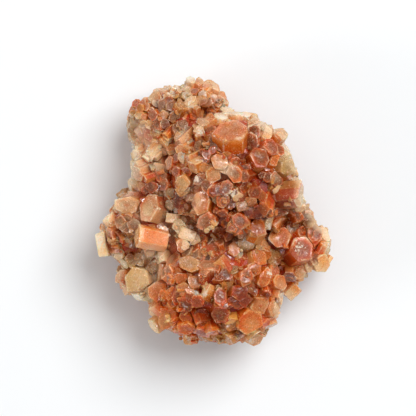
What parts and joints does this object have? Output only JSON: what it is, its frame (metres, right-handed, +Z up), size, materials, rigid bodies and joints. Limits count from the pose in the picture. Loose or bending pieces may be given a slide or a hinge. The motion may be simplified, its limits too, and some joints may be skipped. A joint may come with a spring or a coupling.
{
  "type": "mineral specimen",
  "caption": "Natural aragonite star cluster: intergrown orange-brown six-sided prisms with flat ends, lying on the ends of its lower crystals.",
  "frame": {"origin": "bottom centre of the bounding box, on the surface that the cluster rests on", "axes": "+Z up as it lies; +Y along the cluster's longest side, towards the end with the smaller lobe; +X to the right of that, seen from above"},
  "size_m": [0.0572, 0.064, 0.0406],
  "materials": {
    "aragonite": "translucent orange-brown crystal, vitreous, paler rims and mauve-brown ends"
  },
  "bodies": {
    "root": {"aragonite_cluster": "aragonite"}
  },
  "joints": []
}
